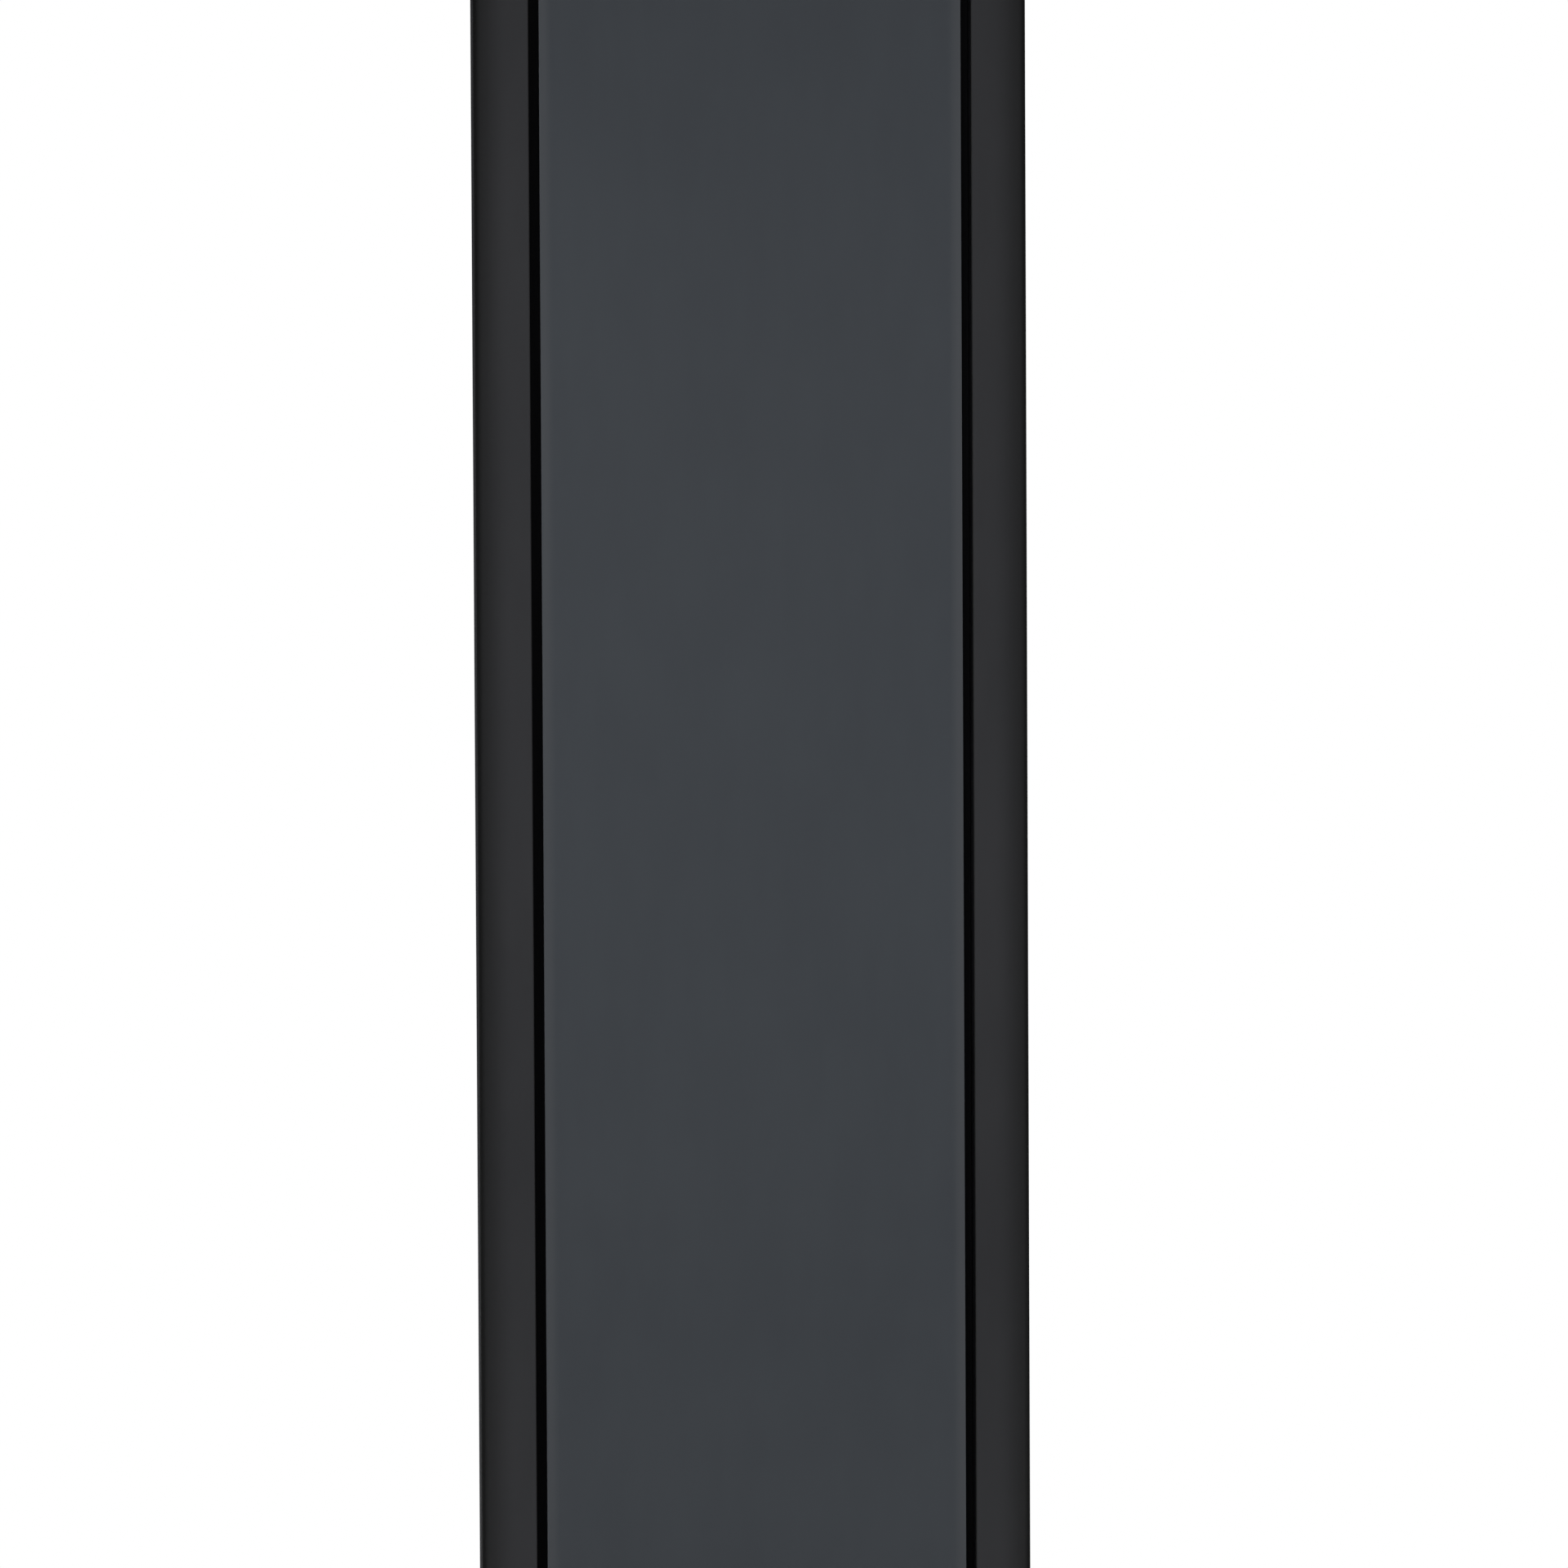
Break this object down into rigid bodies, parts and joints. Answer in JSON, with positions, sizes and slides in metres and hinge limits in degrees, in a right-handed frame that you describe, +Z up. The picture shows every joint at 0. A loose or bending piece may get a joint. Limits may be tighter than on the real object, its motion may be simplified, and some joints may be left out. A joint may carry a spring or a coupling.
{
  "type": "grandfather clock",
  "caption": "Tall plain longcase clock with a dark lacquered hood, trunk and base, flush doors set in narrow shadow gaps, and a weight-driven striking movement.",
  "frame": {"origin": "centre of the clock's footprint on the floor", "axes": "+Z up, the dial and the doors face -Y, +X is on the right for someone facing the dial"},
  "size_m": [0.444, 0.32, 2],
  "materials": {
    "slate_lacquer": "satin lacquer",
    "charcoal_lacquer": "satin lacquer",
    "black_stain": "matt stain",
    "black_nylon": "moulded",
    "clear_glass": "polished",
    "dial_enamel": "satin enamel",
    "satin_nickel": "fine brushed",
    "blued_steel": "heat blued",
    "bright_steel": "satin",
    "clock_brass": "lacquered, satin",
    "polished_brass": "polished",
    "bell_metal": "nickel plated",
    "steel_cable": "stranded"
  },
  "bodies": {
    "case": {"glide_feet": "black_nylon", "plinth": "charcoal_lacquer", "base_carcass": "charcoal_lacquer", "base_face_frame": "charcoal_lacquer", "base_panel": "slate_lacquer", "base_subpanel": "black_stain", "back_board": "charcoal_lacquer", "waist_moulding": "charcoal_lacquer", "trunk_sides": "charcoal_lacquer", "trunk_stiles": "charcoal_lacquer", "trunk_rails": "charcoal_lacquer", "door_stops": "black_stain", "throat_moulding": "charcoal_lacquer", "seatboard": "charcoal_lacquer", "trunk_door_pins": "blued_steel", "touch_latch_body": "black_nylon", "dial_plate": "dial_enamel", "hour_markers": "charcoal_lacquer", "movement_front_plate": "clock_brass", "movement_back_plate": "clock_brass", "plate_pillars": "clock_brass", "back_cock": "clock_brass", "bell": "bell_metal"},
    "hood": {"hood_sides": "charcoal_lacquer", "hood_side_glass": "clear_glass", "hood_face_frame": "charcoal_lacquer", "cornice": "charcoal_lacquer", "dial_mask": "black_stain", "hood_door_pins": "blued_steel"},
    "hood_door": {"hood_door_frame": "slate_lacquer", "hood_door_glass": "clear_glass", "hood_door_knob": "satin_nickel"},
    "trunk_door": {"trunk_door_panel": "slate_lacquer"},
    "latch_plunger": {"touch_latch_plunger": "satin_nickel"},
    "minute_work": {"centre_wheel": "clock_brass", "minute_hand": "blued_steel"},
    "hour_work": {"hour_wheel": "clock_brass", "hour_hand": "blued_steel"},
    "motion_wheel": {"minute_wheel": "clock_brass"},
    "going_great": {"going_great_wheel": "clock_brass"},
    "third": {"third_wheel": "clock_brass"},
    "escape": {"escape_wheel": "clock_brass", "second_hand": "blued_steel"},
    "anchor": {"pallet_anchor": "bright_steel"},
    "pendulum": {"pendulum_rod": "bright_steel", "pendulum_bob": "polished_brass"},
    "rating": {"rating_nut": "clock_brass"},
    "going_drum": {"going_barrel": "clock_brass"},
    "going_drive": {"going_weight": "polished_brass", "going_line": "steel_cable"},
    "going_sheave": {"going_pulley": "clock_brass"},
    "strike_drum": {"strike_barrel": "clock_brass"},
    "strike_drive": {"strike_weight": "polished_brass", "strike_line": "steel_cable"},
    "strike_sheave": {"strike_pulley": "clock_brass"},
    "strike_pins": {"pin_wheel": "clock_brass"},
    "strike_great": {"strike_great_wheel": "clock_brass"},
    "warning": {"warning_wheel": "clock_brass"},
    "fly_vane": {"fly": "clock_brass"},
    "striker": {"hammer": "blued_steel"}
  },
  "joints": [
    {"name": "hood_slide", "type": "slide", "parent": "case", "child": "hood", "axis": [0, -1, 0], "range_m": [0, 0.28]},
    {"name": "hood_door_hinge", "type": "hinge", "parent": "hood", "child": "hood_door", "pos_m": [-0.156, -0.133, 1.75], "axis": [0, 0, -1], "range_deg": [0, 110]},
    {"name": "trunk_door_hinge", "type": "hinge", "parent": "case", "child": "trunk_door", "pos_m": [-0.11, -0.08215, 0.983], "axis": [0, 0, -1], "range_deg": [0, 110]},
    {"name": "latch_push", "type": "slide", "parent": "case", "child": "latch_plunger", "axis": [0, 1, 0], "range_m": [0, 0.003], "stiffness_N_per_m": 300, "springref_m": -0.004},
    {"name": "minute_turn", "type": "hinge", "parent": "case", "child": "minute_work", "pos_m": [0, -0.08, 1.75], "axis": [0, 1, 0], "continuous": true},
    {"name": "hour_turn", "type": "hinge", "parent": "case", "child": "hour_work", "pos_m": [0, -0.088, 1.75], "axis": [0, 1, 0], "continuous": true},
    {"name": "motion_turn", "type": "hinge", "parent": "case", "child": "motion_wheel", "pos_m": [-0.00985, -0.074, 1.72294], "axis": [0, 1, 0], "continuous": true},
    {"name": "going_great_turn", "type": "hinge", "parent": "case", "child": "going_great", "pos_m": [0.03983, -0.014, 1.738], "axis": [0, 1, 0], "continuous": true},
    {"name": "third_turn", "type": "hinge", "parent": "case", "child": "third", "pos_m": [0.01562, -0.033, 1.77227], "axis": [0, 1, 0], "continuous": true},
    {"name": "escape_turn", "type": "hinge", "parent": "case", "child": "escape", "pos_m": [0, -0.033, 1.79], "axis": [0, 1, 0], "continuous": true},
    {"name": "pendulum_swing", "type": "hinge", "parent": "case", "child": "pendulum", "pos_m": [0, 0.027, 1.8197], "axis": [0, 1, 0], "range_deg": [-2.5, 2.5]},
    {"name": "anchor_swing", "type": "hinge", "parent": "case", "child": "anchor", "pos_m": [0, -0.033, 1.8197], "axis": [0, 1, 0], "range_deg": [-2.5, 2.5]},
    {"name": "rating_nut_turn", "type": "hinge", "parent": "pendulum", "child": "rating", "pos_m": [0, 0.027, 0.7497], "axis": [0, 0, 1], "continuous": true},
    {"name": "going_weight_drop", "type": "slide", "parent": "case", "child": "going_drive", "axis": [0, 0, 1], "range_m": [-0.88, 0.38], "deforming": ["going_line"]},
    {"name": "going_drum_turn", "type": "hinge", "parent": "case", "child": "going_drum", "pos_m": [0.03983, -0.04, 1.738], "axis": [0, 1, 0], "continuous": true},
    {"name": "going_sheave_turn", "type": "hinge", "parent": "going_drive", "child": "going_sheave", "pos_m": [0.08873, -0.0405, 1.25], "axis": [0, 1, 0], "continuous": true},
    {"name": "strike_weight_drop", "type": "slide", "parent": "case", "child": "strike_drive", "axis": [0, 0, 1], "range_m": [-0.88, 0.38], "deforming": ["strike_line"]},
    {"name": "strike_drum_turn", "type": "hinge", "parent": "case", "child": "strike_drum", "pos_m": [-0.03983, -0.04, 1.738], "axis": [0, 1, 0], "continuous": true},
    {"name": "strike_sheave_turn", "type": "hinge", "parent": "strike_drive", "child": "strike_sheave", "pos_m": [-0.08873, -0.0405, 1.25], "axis": [0, 1, 0], "continuous": true},
    {"name": "strike_pins_turn", "type": "hinge", "parent": "case", "child": "strike_pins", "pos_m": [-0.03218, -0.033, 1.774], "axis": [0, 1, 0], "continuous": true},
    {"name": "strike_great_turn", "type": "hinge", "parent": "case", "child": "strike_great", "pos_m": [-0.03983, -0.014, 1.738], "axis": [0, 1, 0], "continuous": true},
    {"name": "warning_turn", "type": "hinge", "parent": "case", "child": "warning", "pos_m": [-0.04142, -0.033, 1.79937], "axis": [0, 1, 0], "continuous": true},
    {"name": "fly_turn", "type": "hinge", "parent": "case", "child": "fly_vane", "pos_m": [-0.03603, -0.033, 1.81946], "axis": [0, 1, 0], "continuous": true},
    {"name": "hammer_swing", "type": "hinge", "parent": "case", "child": "striker", "pos_m": [-0.064, -0.033, 1.794], "axis": [0, -1, 0], "range_deg": [0, 12], "stiffness_Nm_per_rad": 0.05, "springref_deg": -11.46}
  ],
  "couplings": [
    {"joint": "hour_turn", "follows": "minute_turn", "ratio": 0.083333},
    {"joint": "motion_turn", "follows": "minute_turn", "ratio": -0.33333},
    {"joint": "going_great_turn", "follows": "minute_turn", "ratio": -0.083333},
    {"joint": "third_turn", "follows": "minute_turn", "ratio": -7.5},
    {"joint": "escape_turn", "follows": "minute_turn", "ratio": 60},
    {"joint": "anchor_swing", "follows": "pendulum_swing", "ratio": 1},
    {"joint": "going_drum_turn", "follows": "going_weight_drop", "rad_per_m": -76.628},
    {"joint": "going_sheave_turn", "follows": "going_weight_drop", "rad_per_m": 43.86},
    {"joint": "strike_drum_turn", "follows": "strike_weight_drop", "rad_per_m": 76.628},
    {"joint": "strike_sheave_turn", "follows": "strike_weight_drop", "rad_per_m": -43.86},
    {"joint": "strike_great_turn", "follows": "strike_pins_turn", "ratio": -0.095238},
    {"joint": "warning_turn", "follows": "strike_pins_turn", "ratio": -8},
    {"joint": "fly_turn", "follows": "strike_pins_turn", "ratio": 56}
  ]
}
